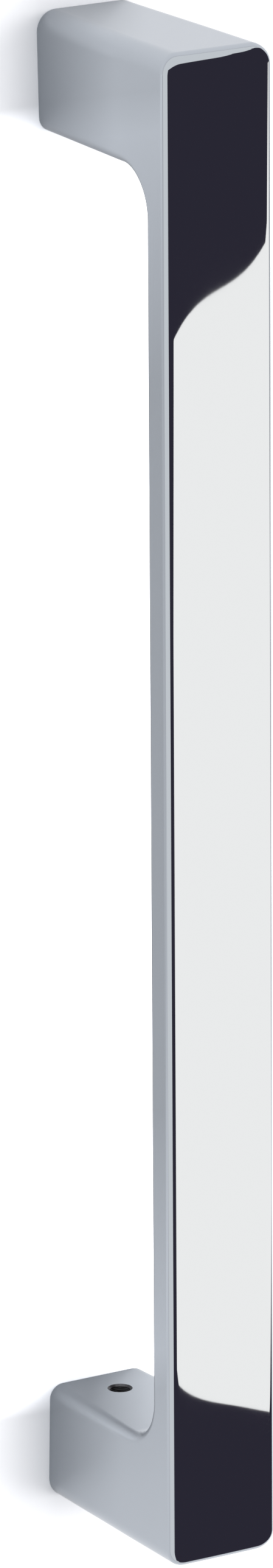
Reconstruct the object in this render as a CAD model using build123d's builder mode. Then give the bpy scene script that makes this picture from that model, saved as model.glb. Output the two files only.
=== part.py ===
from build123d import *
import math
import os

os.makedirs("parts", exist_ok=True)

# Frame: X across the handle, Y towards the door, Z up.
# The origin lies on the door plane, midway between the two fixing centres.

# Main sizes of the pull, in mm
fixing_centres = 300.0
post_height = 25.6
front_width = 26.0
projection = 52.0
bar_depth = 8.6

# The end of each post, where it meets the door: a little narrower on its inner side
base_width = 24.8
base_inner_width = 23.8
base_outer_corner_radius = 4.6
base_inner_corner_radius = 3.2
base_edge_break = 0.25

# Rounding of the casting. The front is crowned: nearly flat in the middle, rounder towards both sides.
crown_middle_radius = 420.0
crown_middle_half_width = 6.0
crown_side_radius = 157.0
corner_radius = 4.2
front_edge_radius = 2.8
inner_edge_radius = 1.2
inner_bend_radius = 10.0
bend_run_out = 2.0

# Blind bore in each post, and a drilled relief behind it for the end of the door bolt
bore_radius = 7.0
bore_depth = 16.0
bore_lead_in = 0.4
relief_radius = 4.2
relief_depth = 24.0
drill_point_angle = 118.0

# M5 set screw in the inner face of each post, in a tapped hole. Threads are plain at pitch size.
screw_radius = 2.24
screw_length = 5.0
screw_recess = 2.0
screw_from_door = 9.5
screw_tip_radius = 1.25
screw_top_chamfer = 0.3
tapped_hole_lead_in = 0.45
socket_across_flats = 2.5
socket_depth = 2.4
socket_lead_in = 0.15

# M8 tapped spigot that the bore slides over, with a groove that the set screw bites into
spigot_clearance = 0.02
spigot_thread_radius = 3.4
spigot_chamfer = 0.5
groove_floor_half_width = 1.3

# Places that follow from the sizes above
overall = fixing_centres + post_height
half_overall = overall / 2
half_front = front_width / 2
half_base = base_width / 2
half_base_inner = base_inner_width / 2
inner_face = half_overall - post_height
fixing_height = fixing_centres / 2
bar_back = -projection + bar_depth
post_start = bar_back + inner_bend_radius + bend_run_out
crown_middle_angle = math.asin(crown_middle_half_width / crown_middle_radius)
crown_side_run = half_front - crown_middle_half_width
crown_side_angle = math.asin(math.sin(crown_middle_angle) + crown_side_run / crown_side_radius)
crown_middle_rise = crown_middle_radius * (1 - math.cos(crown_middle_angle))
crown_side_rise = crown_side_radius * (math.cos(crown_middle_angle) - math.cos(crown_side_angle))
crown_rise = crown_middle_rise + crown_side_rise
side_slope = (half_front - half_base) / (projection - crown_rise)
half_post_start = half_base - side_slope * post_start
base_corner_radii = (base_outer_corner_radius,) * 2 + (base_inner_corner_radius,) * 2
near_side = 0.9 * half_base
tolerance = 0.01
drill_point = relief_radius / math.tan(math.radians(drill_point_angle / 2))
spigot_radius = bore_radius - spigot_clearance
screw_tip = inner_face + screw_recess + screw_length
screw_top = inner_face + screw_recess
screw_tip_cone = screw_radius - screw_tip_radius
groove_floor_radius = fixing_height - screw_tip
groove_half_width = groove_floor_half_width + spigot_radius - groove_floor_radius


# Handle: one casting. The flat bar comes first, as deep as the bends behind it.
with BuildPart() as handle:
    with BuildSketch(Plane.XY.offset(-half_overall)):
        with BuildLine():
            front_left = (-half_front, -projection + crown_rise)
            front_right = (half_front, -projection + crown_rise)
            middle_left = (-crown_middle_half_width, -projection + crown_middle_rise)
            middle_right = (crown_middle_half_width, -projection + crown_middle_rise)
            back_right = (half_post_start, post_start)
            back_left = (-half_post_start, post_start)
            middle = ThreePointArc(middle_left, (0, -projection), middle_right)
            TangentArc(middle_right, front_right, tangent=middle % 1)
            TangentArc(middle_left, front_left, tangent=-(middle % 0))
            Polyline(front_right, back_right, back_left, front_left)
        make_face()
    extrude(amount=overall)

    # The hand gap between bar and door, with its two large bends
    with BuildSketch(Plane.YZ) as hand_gap:
        with Locations((bar_back, 0)):
            Rectangle(projection, 2 * inner_face, align=(Align.MIN, Align.CENTER))
        fillet(hand_gap.vertices().group_by(Axis.X)[0], radius=inner_bend_radius)
    extrude(amount=front_width, both=True, mode=Mode.SUBTRACT)

    # Four corners of the front outline
    flat_ends = handle.faces().filter_by(Axis.Z).group_by(Axis.Z)
    end_edges = ShapeList(flat_ends[0] + flat_ends[-1]).edges()
    fillet(end_edges.filter_by(lambda e: abs(e.center().X) > near_side), radius=corner_radius)

    # The edges of the bar's back, the bends and the posts' inner faces: one chain on each side
    inner_chain = handle.edges().filter_by(
        lambda e: abs(e.center().X) > near_side
        and abs(e.center().Z) < inner_face + tolerance
        and e.center().Y > bar_back - tolerance
    )
    fillet(inner_chain, radius=inner_edge_radius)

    # The outline of the crowned front, which is three strips side by side
    crown = handle.faces().filter_by(lambda f: f.center().Y < -projection + crown_rise)
    fillet(
        crown.edges().filter_by(lambda e: len(ShapeList(f for f in crown if e in f.edges())) == 1),
        radius=front_edge_radius,
    )

    # Each post runs on from there to the door, into a narrower and rounder section
    post_roots = handle.faces().filter_by(Axis.Y).group_by(Axis.Y)[-1].sort_by(Axis.Z)
    for post_root, side in zip(post_roots, (-1, 1)):
        with BuildSketch(Plane.XZ, mode=Mode.PRIVATE) as door_end:
            with BuildLine():
                FilletPolyline(
                    (-half_base, side * half_overall),
                    (half_base, side * half_overall),
                    (half_base_inner, side * inner_face),
                    (-half_base_inner, side * inner_face),
                    radius=base_corner_radii,
                    close=True,
                )
            make_face()
        loft(sections=[post_root, door_end.sketch.face()], ruled=True)
    door_ends = handle.faces().filter_by(Axis.Y).group_by(Axis.Y)[-1]
    chamfer(door_ends.edges(), length=base_edge_break)

    # The bore, its lead-in, and the drilled relief with its cone point, turned about each fixing centre
    for side in (-1, 1):
        bore_axis = Axis((0, 0, side * fixing_height), (0, 1, 0))
        with BuildSketch(Plane.YZ):
            with BuildLine():
                Polyline(
                    (0, side * fixing_height),
                    (0, side * (fixing_height + bore_radius + bore_lead_in)),
                    (-bore_lead_in, side * (fixing_height + bore_radius)),
                    (-bore_depth, side * (fixing_height + bore_radius)),
                    (-bore_depth, side * (fixing_height + relief_radius)),
                    (-relief_depth, side * (fixing_height + relief_radius)),
                    (-relief_depth - drill_point, side * fixing_height),
                    close=True,
                )
            make_face()
        revolve(axis=bore_axis, mode=Mode.SUBTRACT)

    # The tapped hole, from the inner face of the post into the bore
    for side in (-1, 1):
        hole_axis = Axis((0, -screw_from_door, 0), (0, 0, 1))
        with BuildSketch(Plane.YZ):
            with BuildLine():
                Polyline(
                    (-screw_from_door, side * inner_face),
                    (-screw_from_door + screw_radius + tapped_hole_lead_in, side * inner_face),
                    (-screw_from_door + screw_radius, side * (inner_face + tapped_hole_lead_in)),
                    (-screw_from_door + screw_radius, side * screw_tip),
                    (-screw_from_door, side * screw_tip),
                    close=True,
                )
            make_face()
        revolve(axis=hole_axis, mode=Mode.SUBTRACT)

handle.part.label = "handle"
export_step(handle.part, "parts/handle.step")


# Spigots: turned plugs that stay on the door. The bores slide over them and seat on their inner ends.
def make_spigot(side):
    with BuildPart() as spigot:
        with BuildSketch(Plane.YZ):
            with BuildLine():
                inner_end = -bore_depth
                groove_near = -screw_from_door + groove_half_width
                groove_far = -screw_from_door - groove_half_width
                floor_near = -screw_from_door + groove_floor_half_width
                floor_far = -screw_from_door - groove_floor_half_width
                Polyline(
                    (0, side * (fixing_height + spigot_thread_radius)),
                    (0, side * (fixing_height + spigot_radius - spigot_chamfer)),
                    (-spigot_chamfer, side * (fixing_height + spigot_radius)),
                    (groove_near, side * (fixing_height + spigot_radius)),
                    (floor_near, side * (fixing_height + groove_floor_radius)),
                    (floor_far, side * (fixing_height + groove_floor_radius)),
                    (groove_far, side * (fixing_height + spigot_radius)),
                    (inner_end + spigot_chamfer, side * (fixing_height + spigot_radius)),
                    (inner_end, side * (fixing_height + spigot_radius - spigot_chamfer)),
                    (inner_end, side * (fixing_height + spigot_thread_radius)),
                    close=True,
                )
            make_face()
        revolve(axis=Axis((0, 0, side * fixing_height), (0, 1, 0)))
    return spigot


# Set screws: M5, hexagon socket, with a flat point that lands on the floor of the spigot's groove
def make_set_screw(side):
    with BuildPart() as screw:
        with BuildSketch(Plane.YZ):
            with BuildLine():
                Polyline(
                    (-screw_from_door, side * screw_top),
                    (-screw_from_door + screw_radius - screw_top_chamfer, side * screw_top),
                    (-screw_from_door + screw_radius, side * (screw_top + screw_top_chamfer)),
                    (-screw_from_door + screw_radius, side * (screw_tip - screw_tip_cone)),
                    (-screw_from_door + screw_tip_radius, side * screw_tip),
                    (-screw_from_door, side * screw_tip),
                    close=True,
                )
            make_face()
        revolve(axis=Axis((0, -screw_from_door, 0), (0, 0, 1)))

        # Hexagon socket, cut in from the end that faces the hand gap
        with BuildSketch(Plane.XY.offset(side * screw_top)):
            with Locations((0, -screw_from_door)):
                RegularPolygon(radius=socket_across_flats / 2, side_count=6, major_radius=False)
        extrude(amount=side * socket_depth, mode=Mode.SUBTRACT)
        socket_rim = screw.faces().filter_by(Axis.Z).sort_by(Axis.Z)[-1 if side < 0 else 0]
        chamfer(socket_rim.inner_wires()[0].edges(), length=socket_lead_in)
    return screw


for name, side in (("upper", 1), ("lower", -1)):
    spigot = make_spigot(side)
    spigot.part.label = f"spigot_{name}"
    export_step(spigot.part, f"parts/spigot_{name}.step")

    screw = make_set_screw(side)
    screw.part.label = f"set_screw_{name}"
    export_step(screw.part, f"parts/set_screw_{name}.step")
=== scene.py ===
import bpy
import bmesh
import math
from mathutils import Matrix, Quaternion, Vector


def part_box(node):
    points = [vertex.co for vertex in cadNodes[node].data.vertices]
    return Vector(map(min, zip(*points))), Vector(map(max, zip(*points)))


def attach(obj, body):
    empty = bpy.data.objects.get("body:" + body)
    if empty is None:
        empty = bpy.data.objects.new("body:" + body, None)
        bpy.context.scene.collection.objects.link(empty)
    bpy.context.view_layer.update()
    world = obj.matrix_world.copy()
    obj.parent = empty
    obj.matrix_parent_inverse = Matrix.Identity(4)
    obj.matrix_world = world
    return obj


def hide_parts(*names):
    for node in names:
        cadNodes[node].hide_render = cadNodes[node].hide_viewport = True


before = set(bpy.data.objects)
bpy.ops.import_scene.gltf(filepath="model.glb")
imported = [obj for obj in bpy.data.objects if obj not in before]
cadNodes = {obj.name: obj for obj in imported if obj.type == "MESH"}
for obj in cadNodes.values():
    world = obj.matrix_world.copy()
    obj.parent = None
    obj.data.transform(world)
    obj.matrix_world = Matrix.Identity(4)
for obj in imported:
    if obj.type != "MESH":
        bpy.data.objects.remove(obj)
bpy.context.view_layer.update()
scene = bpy.context.scene
print("frame loaded:", ", ".join(sorted(cadNodes)))

near = 1e-5                                                 # metres; closer than this is the same place
awayFromDoor = Matrix.Rotation(math.radians(90), 4, "X")    # turns +Z into -Y


def direction(azimuth, elevation):
    # outwards from the handle, in degrees: 0, 0 is straight away from the door and 90, 0 is +X
    a, e = math.radians(azimuth), math.radians(elevation)
    return Vector((math.sin(a) * math.cos(e), -math.cos(a) * math.cos(e), math.sin(e)))


def asObject(bm, name):
    # a finished bmesh becomes an object in the scene
    mesh = bpy.data.meshes.new(name)
    bm.to_mesh(mesh)
    bm.free()
    obj = bpy.data.objects.new(name, mesh)
    scene.collection.objects.link(obj)
    return obj


# the photograph's viewpoint, in metres and degrees
viewpoint = {
    "azimuth": -31.0,
    "elevation": 16.43,
    "roll": -0.34,
    "distance": 2.132,
    "right": 0.0092,      # how far the aim lies off the middle of the handle
    "up": -0.0047,
    "lens": 232.2,        # mm, as is the sensor
    "sensor": 36.0,
    "clip": (0.05, 60.0),
}


def addCamera(v):
    back = direction(v["azimuth"], v["elevation"])
    turn = Quaternion(back, math.radians(v["roll"])) @ (-back).to_track_quat("-Z", "Y")
    right, up = turn @ Vector((1, 0, 0)), turn @ Vector((0, 1, 0))
    data = bpy.data.cameras.new("photoCamera")
    data.lens = v["lens"]
    data.sensor_width = v["sensor"]
    data.clip_start, data.clip_end = v["clip"]
    cam = bpy.data.objects.new("photoCamera", data)
    cam.rotation_mode = "QUATERNION"
    cam.rotation_quaternion = turn
    cam.location = back * v["distance"] + right * v["right"] + up * v["up"]
    scene.collection.objects.link(cam)
    scene.camera = cam


addCamera(viewpoint)
print("camera set")


# small helpers for node materials
def newMaterial(name):
    mat = bpy.data.materials.new(name)
    mat.use_nodes = True
    mat.node_tree.nodes.clear()
    return mat, mat.node_tree.nodes, mat.node_tree.links


def calc(nodes, links, operation, *values):
    # one Math node; each value is a number or another node's output
    node = nodes.new("ShaderNodeMath")
    node.operation = operation
    for socket, value in zip(node.inputs, values):
        if isinstance(value, (int, float)):
            socket.default_value = value
        else:
            links.new(value, socket)
    return node.outputs[0]


def remap(nodes, links, value, fromRange, toRange):
    node = nodes.new("ShaderNodeMapRange")
    node.inputs["From Min"].default_value, node.inputs["From Max"].default_value = fromRange
    node.inputs["To Min"].default_value, node.inputs["To Max"].default_value = toRange
    links.new(value, node.inputs["Value"])
    return node.outputs["Result"]


def ownPoint(nodes, links, centre=(0, 0, 0), stretch=(1, 1, 1)):
    # a point on the piece, measured from centre
    coord = nodes.new("ShaderNodeTexCoord")
    place = nodes.new("ShaderNodeMapping")
    place.inputs["Location"].default_value = [-c * s for c, s in zip(centre, stretch)]
    place.inputs["Scale"].default_value = stretch
    links.new(coord.outputs["Object"], place.inputs["Vector"])
    return place.outputs["Vector"]


def splitPoint(nodes, links, point):
    xyz = nodes.new("ShaderNodeSeparateXYZ")
    links.new(point, xyz.inputs[0])
    return xyz.outputs


def noise(nodes, links, point, scale, detail):
    node = nodes.new("ShaderNodeTexNoise")
    node.inputs["Scale"].default_value = scale
    node.inputs["Detail"].default_value = detail
    links.new(point, node.inputs["Vector"])
    return node.outputs["Fac"]


def seenRay(nodes, links, mirrored=1.0):
    # 1 for camera rays, mirrored for what metal and glass show, 0 for rays that only carry light
    path = nodes.new("ShaderNodeLightPath")
    inMetal = calc(nodes, links, "MAXIMUM",
                   path.outputs["Is Glossy Ray"], path.outputs["Is Transmission Ray"])
    return calc(nodes, links, "MULTIPLY_ADD", inMetal, mirrored, path.outputs["Is Camera Ray"])


def mixShaders(nodes, links, amount, first, second):
    mix = nodes.new("ShaderNodeMixShader")
    for source, socket in zip((amount, first.outputs[0], second.outputs[0]), mix.inputs):
        links.new(source, socket)
    return mix


def toSurface(nodes, links, shader, output="ShaderNodeOutputMaterial"):
    out = nodes.new(output)
    links.new(shader.outputs[0], out.inputs["Surface"])


# the white wall that the pull is fixed to; its painted shade and painted light change with the height
# above or below the middle of the bar, each over its own step
room = {
    "wallWide": 8.0,
    "wallHigh": 8.0,
    "ahead": 0.0001,      # a hair in front of the door ends, so that they do not mirror it
    "wallColour": (0.88, 0.88, 0.89),
    "paintedShadeMiddle": 0.635,  # painted shade: darker level with the bar, in place of the bar's shadow that its sides mirror
    "paintedShadeEnds": 0.95,
    "paintedShadeStep": (0.08, 0.145),
    "paintedLiftMiddle": 2.6,    # painted light: how much whiter the camera sees the wall, so that the bar's shadow on it reads as white
    "paintedLiftEnds": 0.53,     # less beside the posts, where their shadow shows
    "paintedLiftStep": (0.134, 0.143),
    "mirroredShare": 0.1,  # how much of that painted light polished metal sees
}


def wallMaterial(r):
    mat, nodes, links = newMaterial("whiteWall")
    height = calc(nodes, links, "ABSOLUTE", splitPoint(nodes, links, ownPoint(nodes, links))["Z"])
    # painted shade: the wall is darker level with the bar, standing in for the bar's shadow that its
    # polished sides mirror
    paintedShade = remap(nodes, links, height, r["paintedShadeStep"], (r["paintedShadeMiddle"], r["paintedShadeEnds"]))
    # painted light: the camera sees the wall whiter level with the bar, over the bar's cast shadow
    paintedLift = remap(nodes, links, height, r["paintedLiftStep"], (r["paintedLiftMiddle"], r["paintedLiftEnds"]))
    lift = calc(nodes, links, "MULTIPLY_ADD", paintedLift, seenRay(nodes, links, r["mirroredShare"]), 1.0)
    colour = nodes.new("ShaderNodeVectorMath")
    colour.operation = "SCALE"
    colour.inputs[0].default_value = r["wallColour"]
    links.new(calc(nodes, links, "MULTIPLY", paintedShade, lift), colour.inputs["Scale"])
    diffuse = nodes.new("ShaderNodeBsdfDiffuse")
    links.new(colour.outputs["Vector"], diffuse.inputs["Color"])
    # see-through from the door's side
    clear = nodes.new("ShaderNodeBsdfTransparent")
    side = nodes.new("ShaderNodeNewGeometry")
    toSurface(nodes, links, mixShaders(nodes, links, side.outputs["Backfacing"], diffuse, clear))
    return mat


def addWall(r):
    # a sheet of one metre by one, scaled and stood up
    bm = bmesh.new()
    bmesh.ops.create_grid(bm, x_segments=1, y_segments=1, size=0.5)
    bmesh.ops.scale(bm, vec=(r["wallWide"], r["wallHigh"], 1), verts=bm.verts)
    place = Matrix.Translation((0, -r["ahead"], 0)) @ awayFromDoor
    bmesh.ops.transform(bm, matrix=place, verts=bm.verts)
    sheet = asObject(bm, "wall")
    sheet.data.materials.append(wallMaterial(r))


addWall(room)
print("room built")


def glowMaterial(name, colour, strength):
    mat, nodes, links = newMaterial(name)
    glow = nodes.new("ShaderNodeEmission")
    glow.inputs["Color"].default_value = (*colour, 1)
    glow.inputs["Strength"].default_value = strength
    toSurface(nodes, links, glow)
    return mat


def onlyMirrored(obj):
    # studio cards stand between the views and the pull, so only polished metal sees them
    obj.visible_camera = False
    obj.visible_diffuse = False
    obj.visible_shadow = False


# the dark half of the studio that the polished front looks into
darkSide = {
    "distance": 1.25,
    "low": -8.0,
    # azimuth and height along the cloth's top edge, set so that the dark parts of the front end
    # where they do in the photograph
    "topEdge": [
        (-25, 0.58), (28.0, 0.58), (33.8, 0.79), (37, 0.96), (40.8, 1.15), (44, 1.245),
        (50, 1.45), (60, 1.74), (68, 1.72), (89, 1.1),
    ],
    "steps": 114,
    "colour": (0.042, 0.037, 0.056),
    "strength": 1.0,
}


def edgeHeight(points, azimuth):
    # straight runs between the points of the top edge
    for (a0, z0), (a1, z1) in zip(points, points[1:]):
        if azimuth <= a1:
            break
    return z0 + (z1 - z0) * (azimuth - a0) / (a1 - a0)


def addDarkSide(d):
    # a curved dark cloth: one upright edge swept round the handle
    bm = bmesh.new()
    (first, firstHigh), (last, _) = d["topEdge"][0], d["topEdge"][-1]
    foot = direction(first, 0) * d["distance"]
    low = bm.verts.new(foot + Vector((0, 0, d["low"])))
    high = bm.verts.new(foot + Vector((0, 0, firstHigh)))
    edge = bm.edges.new((low, high))
    bmesh.ops.spin(
        bm, geom=[low, high, edge], cent=(0, 0, 0), axis=(0, 0, 1), steps=d["steps"],
        angle=math.radians(last - first), use_merge=False,
    )
    for v in bm.verts:
        if v.co.z > 0:
            v.co.z = edgeHeight(d["topEdge"], math.degrees(math.atan2(v.co.x, -v.co.y)))
    cloth = asObject(bm, "darkCloth")
    cloth.data.materials.append(glowMaterial("darkCloth", d["colour"], d["strength"]))
    onlyMirrored(cloth)


addDarkSide(darkSide)

# the white panel in it, turned and leant so that its edges cross the crowned front as in the
# photograph; left and right are measured along the panel from its middle
panel = {
    "distance": 1.0,
    "azimuth": 28.479,
    "elevation": -17.385,
    "yaw": 64.25,
    "lean": 16.43,
    "halfHigh": 0.1652,
    "leftTop": -0.073,
    "leftBottom": -0.55,
    "right": 0.835,       # up to the wall
    "colour": (1.0, 0.95, 0.89),
    "strength": 1.58,
    "front": 0.052,       # distance is measured from the front of the handle
}


def addPanel(p):
    centre = direction(p["azimuth"], p["elevation"]) * p["distance"] - Vector((0, p["front"], 0))
    turned = math.radians(p["azimuth"] + p["yaw"])
    level = Vector((math.cos(turned), math.sin(turned), 0))
    upright = Vector((0, 0, 1))
    lean = math.radians(p["lean"])
    across = level * math.cos(lean) + upright * math.sin(lean)
    up = (upright * math.cos(lean) - level * math.sin(lean)) * p["halfHigh"]
    corners = [(p["leftBottom"], -1), (p["right"], -1), (p["right"], 1), (p["leftTop"], 1)]
    bm = bmesh.new()
    verts = [bm.verts.new(centre + across * x + up * side) for x, side in corners]
    bmesh.ops.contextual_create(bm, geom=verts)
    card = asObject(bm, "whitePanel")
    card.data.materials.append(glowMaterial("whitePanel", p["colour"], p["strength"]))
    onlyMirrored(card)


addPanel(panel)
print("studio cards placed")


# soft light: one lamp near the camera and a tall one on the right
lamps = {
    "front": {"azimuth": 8, "elevation": -1, "distance": 2.2, "wide": 0.8, "high": 0.8, "watts": 23.0},
    "right": {"azimuth": 40, "elevation": 0, "distance": 2.0, "wide": 0.6, "high": 2.0, "watts": 10.0},
}


def addLamp(name, p):
    data = bpy.data.lights.new(name, "AREA")
    data.shape = "RECTANGLE"
    data.size = p["wide"]
    data.size_y = p["high"]
    data.energy = p["watts"]
    away = direction(p["azimuth"], p["elevation"])
    lamp = bpy.data.objects.new(name, data)
    lamp.location = away * p["distance"]
    lamp.rotation_mode = "QUATERNION"
    lamp.rotation_quaternion = (-away).to_track_quat("-Z", "Y")
    lamp.visible_glossy = False
    scene.collection.objects.link(lamp)


for name, place in lamps.items():
    addLamp(name, place)


# the room's own light, and the white that cameras and polished metal see in its place
air = {
    "colour": (0.95, 0.96, 1.0),
    "strength": 0.475,
    "seenColour": (1.0, 1.0, 1.0),
    "seenStrength": 1.0,
}


def background(tree, colour, strength):
    node = tree.nodes.new("ShaderNodeBackground")
    node.inputs["Color"].default_value = (*colour, 1)
    node.inputs["Strength"].default_value = strength
    return node


def setWorld(a):
    world = bpy.data.worlds.new("studioAir")
    scene.world = world
    world.use_nodes = True
    tree = world.node_tree
    tree.nodes.clear()
    light = background(tree, a["colour"], a["strength"])
    seen = background(tree, a["seenColour"], a["seenStrength"])
    mix = mixShaders(tree.nodes, tree.links, seenRay(tree.nodes, tree.links), light, seen)
    toSurface(tree.nodes, tree.links, mix, "ShaderNodeOutputWorld")


setWorld(air)
print("lights set")


# the handle, one polished casting; its overall sizes come from the frame
handleLo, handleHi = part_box("handle")
boreLo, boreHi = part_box("spigot_upper")
screwLo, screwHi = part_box("set_screw_upper")
postHeight = 0.0256
barDepth = 0.0086

handleSizes = {
    "halfWidth": handleHi.x,
    "halfLength": handleHi.z,
    "front": handleLo.y,
    "innerFace": handleHi.z - postHeight,
    "barBack": handleLo.y + barDepth,
    "postStart": -0.0314,       # from here to the door the inner side of each post narrows further
    "halfBase": 0.0124,         # the door ends are narrower than the front
    "halfBaseInner": 0.0119,
    "bend": 0.010,
    "corner": 0.0042,
    "baseCorner": 0.0046,
    "innerEdge": 0.0022,
    "baseInnerCorner": 0.0032,
    "frontEdge": 0.0016,
    "frontEdgeTop": 0.0028,     # the same edge is rounder along the top and the bottom
    "doorEdge": 0.00025,
    "segments": {"bend": 28, "corner": 14, "innerEdge": 8, "frontEdge": 12, "doorEdge": 2},
    "foldAngle": 45.0,          # degrees; the inner edges fold more than this
    "cornerReach": 1.3,         # a rounded corner lies within this many radii of its sharp corner
    "crownBend": 1.8,           # slope of the front grows as crownBend * (x + crownFlare * x^3)
    "crownFlare": 8950.0,
    "crownStrips": 56,
    "stripsEnd": 1.3,           # the long strips stop this many corner radii from top and bottom
    "weld": 1e-7,
    "sharpAngle": 32.0,         # degrees; fold lines of the holes stay crisp past this
}

boreSizes = {
    "axis": (boreLo.z + boreHi.z) / 2,
    "radius": 0.0070,
    "depth": 0.0160,
    "leadIn": 0.0004,
    "reliefRadius": 0.0042,
    "reliefDepth": 0.0240,
    "point": 0.0025,
    "steps": 64,
}

tappedHoleSizes = {
    "y": (screwLo.y + screwHi.y) / 2,
    "coreRadius": 0.00224,
    "threadDepth": 0.00026,
    "pitch": 0.0008,
    "threads": 3,
    "leadIn": 0.00045,
    "depth": 0.0064,
    "steps": 48,
}

cutterOverrun = 0.001           # cutters start this far outside the metal
cutterWeld = 1e-6


def roundEdges(bm, h, size, test):
    # rounds every edge that passes the test, which gets the edge and its midpoint
    edges = [e for e in bm.edges if test(e, (e.verts[0].co + e.verts[1].co) / 2)]
    bmesh.ops.bevel(
        bm, geom=edges, offset=h[size], offset_type="OFFSET", segments=h["segments"][size],
        profile=0.5, affect="EDGES", material=-1, clamp_overlap=False,
    )


def slicedAt(bm, geom, point, normal):
    return bmesh.ops.bisect_plane(bm, geom=geom, plane_co=point, plane_no=normal)["geom"]


def spunCutter(name, profile, steps, place):
    # a closed turned shape: the profile (radius, depth) runs from axis to axis and is spun about Z
    bm = bmesh.new()
    verts = [bm.verts.new((r, 0, z)) for r, z in profile]
    edges = [bm.edges.new(pair) for pair in zip(verts, verts[1:])]
    bmesh.ops.spin(
        bm, geom=verts + edges, cent=(0, 0, 0), axis=(0, 0, 1),
        angle=2 * math.pi, steps=steps, use_merge=True,
    )
    bmesh.ops.remove_doubles(bm, verts=bm.verts, dist=cutterWeld)
    bmesh.ops.recalc_face_normals(bm, faces=bm.faces)
    bmesh.ops.transform(bm, matrix=place, verts=bm.verts)
    return asObject(bm, name)


def boreCutter(b, side):
    # bore with its lead-in, relief and drill point
    mouth = b["radius"] + b["leadIn"]
    profile = [
        (0, -cutterOverrun), (mouth, -cutterOverrun), (mouth, 0),
        (b["radius"], b["leadIn"]), (b["radius"], b["depth"]), (b["reliefRadius"], b["depth"]),
        (b["reliefRadius"], b["reliefDepth"]), (0, b["reliefDepth"] + b["point"]),
    ]
    place = Matrix.Translation((0, 0, side * b["axis"])) @ awayFromDoor
    return spunCutter("boreCutter", profile, b["steps"], place)


def tappedHoleCutter(t, face, side):
    # the countersunk mouth, a few turns of thread, then the plain core that the screw sits in
    mouth = t["coreRadius"] + t["leadIn"]
    profile = [(0, -cutterOverrun), (mouth, -cutterOverrun), (mouth, 0), (t["coreRadius"], t["leadIn"])]
    for turn in range(t["threads"]):
        start = t["leadIn"] + turn * t["pitch"] / 2
        profile.append((t["coreRadius"] + t["threadDepth"], start + t["pitch"] / 4))
        profile.append((t["coreRadius"], start + t["pitch"] / 2))
    profile += [(t["coreRadius"], t["depth"]), (0, t["depth"])]
    flip = Matrix.Identity(4) if side > 0 else Matrix.Rotation(math.radians(180), 4, "X")
    place = Matrix.Translation((0, t["y"], side * face)) @ flip
    return spunCutter("tappedHoleCutter", profile, t["steps"], place)


def cutHoles(obj, cutters):
    for cutter in cutters:
        cut = obj.modifiers.new("cut", "BOOLEAN")
        cut.operation = "DIFFERENCE"
        cut.solver = "EXACT"
        cut.object = cutter
    holed = obj.evaluated_get(bpy.context.evaluated_depsgraph_get())
    mesh = bpy.data.meshes.new_from_object(holed)
    obj.modifiers.clear()
    for cutter in cutters:
        bpy.data.objects.remove(cutter)
    obj.data = mesh


def pushedOutline(h):
    # side view of the pull, an open C, pushed out to its width
    bm = bmesh.new()
    outline = [(h["front"], h["halfLength"]), (0, h["halfLength"])]
    outline += [(0, h["innerFace"]), (h["barBack"], h["innerFace"])]
    outline += [(y, -z) for y, z in reversed(outline)]
    left = [bm.verts.new((-h["halfWidth"], y, z)) for y, z in outline]
    face = bm.faces.new(left)
    pushed = bmesh.ops.extrude_face_region(bm, geom=[face])["geom"]
    pushed = [v for v in pushed if isinstance(v, bmesh.types.BMVert)]
    bmesh.ops.translate(bm, vec=(2 * h["halfWidth"], 0, 0), verts=pushed)
    bmesh.ops.recalc_face_normals(bm, faces=bm.faces)
    return bm


def narrowTowardsDoor(bm, h):
    slicedAt(bm, bm.verts[:] + bm.edges[:] + bm.faces[:], (0, h["postStart"], 0), (0, 1, 0))
    for v in bm.verts:
        run = (v.co.y - h["front"]) / -h["front"]
        v.co.x *= 1 - (1 - h["halfBase"] / h["halfWidth"]) * run
        if v.co.y > -near and abs(v.co.z) < h["innerFace"] + near:
            v.co.x *= h["halfBaseInner"] / h["halfBase"]


def widen(bm, h, corner, radius, newRadius):
    # a rounded corner of the door end is scaled about its sharp corner to a larger radius
    place = Vector(corner)
    reach = radius * h["cornerReach"]
    verts = [v for v in bm.verts if abs(v.co.y) < near and (v.co - place).length < reach]
    grow = newRadius / radius
    bmesh.ops.scale(bm, vec=(grow, 1, grow), verts=verts, space=Matrix.Translation(-place))


def roundCasting(bm, h):
    def onSide(middle):
        return abs(middle.x) > h["halfBaseInner"] - near

    # the two large bends behind the bar
    roundEdges(bm, h, "bend", lambda e, m: abs(m.y - h["barBack"]) < near and abs(m.x) < near)
    # the four corners of the front outline
    roundEdges(bm, h, "corner", lambda e, m: onSide(m) and abs(abs(m.z) - h["halfLength"]) < near)
    # bar back, bends and inner faces of the posts, one chain on each side
    roundEdges(bm, h, "innerEdge", lambda e, m: (
        onSide(m) and abs(m.z) < h["innerFace"] + near and h["barBack"] - near < m.y < -near
        and e.is_manifold and e.calc_face_angle() > math.radians(h["foldAngle"])
    ))
    # rounder corners at the door end
    for sx in (-1, 1):
        for sz in (-1, 1):
            outer = (sx * h["halfBase"], 0, sz * h["halfLength"])
            inner = (sx * h["halfBaseInner"], 0, sz * h["innerFace"])
            widen(bm, h, outer, h["corner"], h["baseCorner"])
            widen(bm, h, inner, h["innerEdge"], h["baseInnerCorner"])
    # outline of the front, and a small break round the door ends
    roundEdges(bm, h, "frontEdge", lambda e, m: abs(m.y - h["front"]) < near)
    roundEdges(bm, h, "doorEdge", lambda e, m: m.y > -near)


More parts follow.
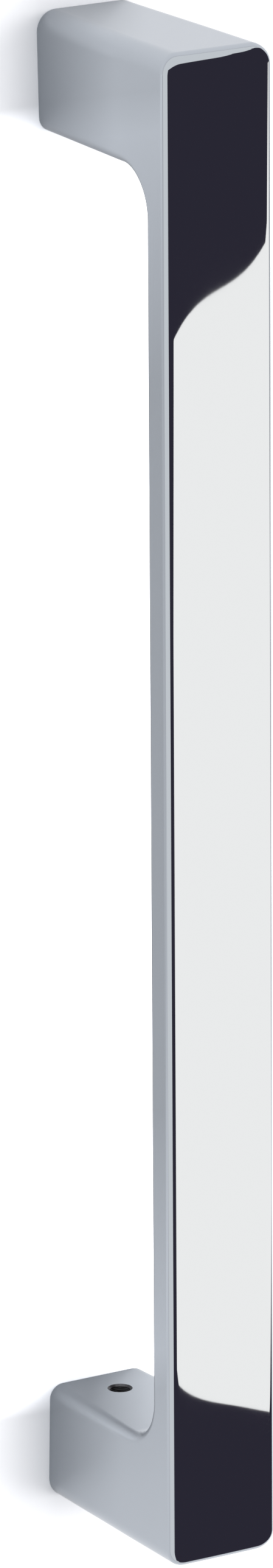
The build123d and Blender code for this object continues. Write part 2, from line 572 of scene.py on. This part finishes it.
def softenTop(bm, h):
    # the front's rounded edge grows round each corner of the outline to its larger size on top
    middle = Vector((h["halfWidth"] - h["corner"], h["halfLength"] - h["corner"]))
    for v in bm.verts:
        out = Vector((max(abs(v.co.x) - middle.x, 0), max(abs(v.co.z) - middle.y, 0)))
        gap = h["corner"] - out.length
        if out.y <= 0 or gap > h["frontEdge"] + near or v.co.y > h["front"] + h["frontEdge"] + near:
            continue
        turned = math.atan2(out.y, out.x) / math.radians(90)
        share = turned * turned * (3 - 2 * turned)      # eases in and out
        grow = 1 + (h["frontEdgeTop"] / h["frontEdge"] - 1) * share
        out = out.normalized() * (out.length - gap * (grow - 1))
        if abs(v.co.x) > middle.x:
            v.co.x = math.copysign(middle.x + out.x, v.co.x)
        v.co.z = math.copysign(middle.y + out.y, v.co.z)
        v.co.y = h["front"] + (v.co.y - h["front"]) * grow


def crownFront(bm, h):
    # long strips across the front and its straight edges at top and bottom, then the crown
    straight = h["halfWidth"] - h["corner"]
    strips = [
        f for f in bm.faces
        if f.calc_center_median().y < h["front"] + h["frontEdgeTop"]
        and abs(f.calc_center_median().x) < straight
    ]
    edges = dict.fromkeys(e for f in strips for e in f.edges)
    verts = dict.fromkeys(v for f in strips for v in f.verts)
    strips = [*strips, *edges, *verts]
    reach = h["halfWidth"] - h["frontEdge"]
    for i in range(1, h["crownStrips"]):
        x = reach * (2 * i / h["crownStrips"] - 1)
        strips = slicedAt(bm, strips, (x, 0, 0), (1, 0, 0))
    for side in (-1, 1):
        z = side * (h["halfLength"] - h["stripsEnd"] * h["corner"])
        strips = slicedAt(bm, strips, (0, 0, z), (0, 0, 1))
    for v in bm.verts:
        if v.co.y < h["front"] + h["frontEdgeTop"] + near:
            v.co.y += h["crownBend"] * (v.co.x ** 2 / 2 + h["crownFlare"] * v.co.x ** 4 / 4)


def finishHandle(obj, h):
    # crisp fold lines only where faces meet steeply; large faces keep their own direction
    bm = bmesh.new()
    bm.from_mesh(obj.data)
    bmesh.ops.remove_doubles(bm, verts=bm.verts, dist=h["weld"])
    # left whole, the door end with its bore is later split with one triangle folded over
    bmesh.ops.triangulate(bm, faces=[f for f in bm.faces if len(f.verts) > 4])
    for f in bm.faces:
        f.smooth = True
    for e in bm.edges:
        e.smooth = not (e.is_manifold and e.calc_face_angle() > math.radians(h["sharpAngle"]))
    print("handle faces:", len(bm.faces), "open edges:", sum(not e.is_manifold for e in bm.edges))
    bm.to_mesh(obj.data)
    bm.free()
    steady = obj.modifiers.new("steadyShading", "WEIGHTED_NORMAL")
    steady.mode = "FACE_AREA"
    steady.keep_sharp = True


def addHandle(h, b, t):
    bm = pushedOutline(h)
    narrowTowardsDoor(bm, h)
    roundCasting(bm, h)
    softenTop(bm, h)
    crownFront(bm, h)
    body = asObject(bm, "handleBody")
    cutHoles(body, [boreCutter(b, side) for side in (1, -1)]
             + [tappedHoleCutter(t, h["innerFace"], side) for side in (1, -1)])
    finishHandle(body, h)
    return body


handle = addHandle(handleSizes, boreSizes, tappedHoleSizes)
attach(handle, "root")
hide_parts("handle")
print("handle built")


# finishes
noiseSpan = (0.3, 0.7)          # nearly all of a noise texture's values lie in this range

chromeFinish = {
    "colour": (0.515, 0.55, 0.59),
    "roughness": (0.009, 0.017),
    "hazeScale": 70,
    "hazeDetail": 3,
    "polishScale": 900,
    "polishDetail": 2,
    "polishStretch": (1, 1, 0.05),  # polishing marks run up and down the pull
    "polishDepth": 2e-7,
}

drilledMarksAndShade = {
    # painted shade: the inside of the holes is coloured near black
    "colourLow": (0.055, 0.053, 0.056),
    "colourHigh": (0.16, 0.16, 0.17),
    "roughness": (0.28, 0.42),
    "marks": 2600,          # tool marks across each hole, radians per metre
    "markDepth": 6e-6,
    "grainScale": 900,
    "grainDetail": 4,
}

spigotFinish = {
    "colour": (0.58, 0.57, 0.55),
    "roughness": (0.22, 0.36),
    "rings": 9000,          # turning marks, radians per metre
    "ringDepth": 3e-6,
    "pitch": 0.00125,       # M8 thread inside
    "threadWithin": 0.00355,
    "threadDepth": 0.0005,
    "grainScale": 500,
    "grainDetail": 3,
}

screwFinish = {
    "colourLow": (0.018, 0.018, 0.020),
    "colourHigh": (0.045, 0.045, 0.048),
    "roughness": (0.34, 0.5),
    "pitch": 0.0008,
    "threadDepth": 0.0003,
    "socketWithin": 0.0019,
    "grainScale": 1800,
    "grainDetail": 4,
}


def metal(nodes, links, colour=None):
    bsdf = nodes.new("ShaderNodeBsdfPrincipled")
    bsdf.inputs["Metallic"].default_value = 1.0
    if colour:
        bsdf.inputs["Base Color"].default_value = (*colour, 1)
    toSurface(nodes, links, bsdf)
    return bsdf


def addBump(nodes, links, bsdf, height, depth):
    bump = nodes.new("ShaderNodeBump")
    bump.inputs["Strength"].default_value = 1.0
    bump.inputs["Distance"].default_value = depth
    links.new(height, bump.inputs["Height"])
    links.new(bump.outputs["Normal"], bsdf.inputs["Normal"])


def varyRoughness(nodes, links, bsdf, grain, limits):
    links.new(remap(nodes, links, grain, noiseSpan, limits), bsdf.inputs["Roughness"])


def varyColour(nodes, links, bsdf, grain, low, high):
    mix = nodes.new("ShaderNodeMix")
    mix.data_type = "RGBA"
    mix.inputs["A"].default_value = (*low, 1)
    mix.inputs["B"].default_value = (*high, 1)
    links.new(remap(nodes, links, grain, noiseSpan, (0, 1)), mix.inputs["Factor"])
    links.new(mix.outputs["Result"], bsdf.inputs["Base Color"])


def roundAxis(nodes, links, point, across, along):
    # radius, angle and place along the axis, for a point measured from that axis
    xyz = splitPoint(nodes, links, point)
    a, b = (xyz[letter] for letter in across)
    square = calc(nodes, links, "MULTIPLY_ADD", b, b, calc(nodes, links, "MULTIPLY", a, a))
    radius = calc(nodes, links, "SQRT", square)
    return radius, calc(nodes, links, "ARCTAN2", a, b), xyz[along]


def threadWave(nodes, links, angle, along, pitch):
    helix = calc(nodes, links, "MULTIPLY_ADD", along, 2 * math.pi / pitch, angle)
    return calc(nodes, links, "SINE", helix)


def chromeMaterial(f):
    # bright chrome plate: a faint haze that comes and goes, and hair-fine polishing marks
    mat, nodes, links = newMaterial("polishedChrome")
    bsdf = metal(nodes, links, f["colour"])
    haze = noise(nodes, links, ownPoint(nodes, links), f["hazeScale"], f["hazeDetail"])
    varyRoughness(nodes, links, bsdf, haze, f["roughness"])
    lines = ownPoint(nodes, links, stretch=f["polishStretch"])
    marks = noise(nodes, links, lines, f["polishScale"], f["polishDetail"])
    addBump(nodes, links, bsdf, marks, f["polishDepth"])
    return mat


def drilledMaterial(f):
    # inside the bores and tapped holes: bare metal with tool marks, painted near black as the shade
    # deep in the holes
    mat, nodes, links = newMaterial("drilledMetalPaintedShade")
    bsdf = metal(nodes, links)
    point = ownPoint(nodes, links)
    grain = noise(nodes, links, point, f["grainScale"], f["grainDetail"])
    varyColour(nodes, links, bsdf, grain, f["colourLow"], f["colourHigh"])
    varyRoughness(nodes, links, bsdf, grain, f["roughness"])
    xyz = splitPoint(nodes, links, point)
    along = calc(nodes, links, "ADD", xyz["Y"], xyz["Z"])
    marks = calc(nodes, links, "SINE", calc(nodes, links, "MULTIPLY", along, f["marks"]))
    addBump(nodes, links, bsdf, calc(nodes, links, "ADD", marks, grain), f["markDepth"])
    return mat


def spigotMaterial(f, side):
    # zinc plated steel, turned: fine rings outside, a thread for the door bolt inside
    mat, nodes, links = newMaterial("turnedSteelUpper" if side > 0 else "turnedSteelLower")
    bsdf = metal(nodes, links, f["colour"])
    point = ownPoint(nodes, links, centre=(0, 0, side * boreSizes["axis"]))
    grain = noise(nodes, links, point, f["grainScale"], f["grainDetail"])
    varyRoughness(nodes, links, bsdf, grain, f["roughness"])
    radius, angle, along = roundAxis(nodes, links, point, "XZ", "Y")
    outwards = calc(nodes, links, "ADD", radius, along)
    rings = calc(nodes, links, "SINE", calc(nodes, links, "MULTIPLY", outwards, f["rings"]))
    thread = calc(nodes, links, "MULTIPLY", threadWave(nodes, links, angle, along, f["pitch"]),
                  f["threadDepth"] / f["ringDepth"] / 2)
    height = nodes.new("ShaderNodeMix")
    links.new(calc(nodes, links, "LESS_THAN", radius, f["threadWithin"]), height.inputs["Factor"])
    links.new(rings, height.inputs["A"])
    links.new(thread, height.inputs["B"])
    addBump(nodes, links, bsdf, height.outputs["Result"], f["ringDepth"])
    return mat


def screwMaterial(f):
    # black oxide over steel, a thread round the outside and a plain socket
    mat, nodes, links = newMaterial("blackOxideSteel")
    bsdf = metal(nodes, links)
    point = ownPoint(nodes, links, centre=(0, tappedHoleSizes["y"], 0))
    grain = noise(nodes, links, point, f["grainScale"], f["grainDetail"])
    varyColour(nodes, links, bsdf, grain, f["colourLow"], f["colourHigh"])
    varyRoughness(nodes, links, bsdf, grain, f["roughness"])
    radius, angle, along = roundAxis(nodes, links, point, "XY", "Z")
    outside = calc(nodes, links, "GREATER_THAN", radius, f["socketWithin"])
    thread = calc(nodes, links, "MULTIPLY", threadWave(nodes, links, angle, along, f["pitch"]), outside)
    addBump(nodes, links, bsdf, thread, f["threadDepth"] / 2)
    return mat


def holeFaces(obj, b, t, face):
    # faces that lie wholly inside a bore or a tapped hole get the drilled material, painted dark as
    # shade
    def drilled(place):
        height = abs(place.z)
        inBore = math.hypot(place.x, height - b["axis"]) < b["radius"] + b["leadIn"] + near
        inBore = inBore and place.y > -b["reliefDepth"] - b["point"] - near
        inHole = math.hypot(place.x, place.y - t["y"]) < t["coreRadius"] + t["leadIn"] + near
        return inBore or inHole and height > face - near

    for polygon in obj.data.polygons:
        corners = [obj.data.vertices[i].co for i in polygon.vertices]
        polygon.material_index = int(all(drilled(corner) for corner in corners))
    print("drilled faces:", sum(polygon.material_index for polygon in obj.data.polygons))


handle.data.materials.clear()
handle.data.materials.append(chromeMaterial(chromeFinish))
handle.data.materials.append(drilledMaterial(drilledMarksAndShade))
holeFaces(handle, boreSizes, tappedHoleSizes, handleSizes["innerFace"])

nodeFinishes = {
    "handle": handle.data.materials[0],
    "spigot_upper": spigotMaterial(spigotFinish, 1),
    "spigot_lower": spigotMaterial(spigotFinish, -1),
}
blackOxide = screwMaterial(screwFinish)
nodeFinishes["set_screw_upper"] = blackOxide
nodeFinishes["set_screw_lower"] = blackOxide
for name, mat in nodeFinishes.items():
    cadNodes[name].data.materials.clear()
    cadNodes[name].data.materials.append(mat)
print("finishes assigned")

scene.view_settings.view_transform = "Standard"
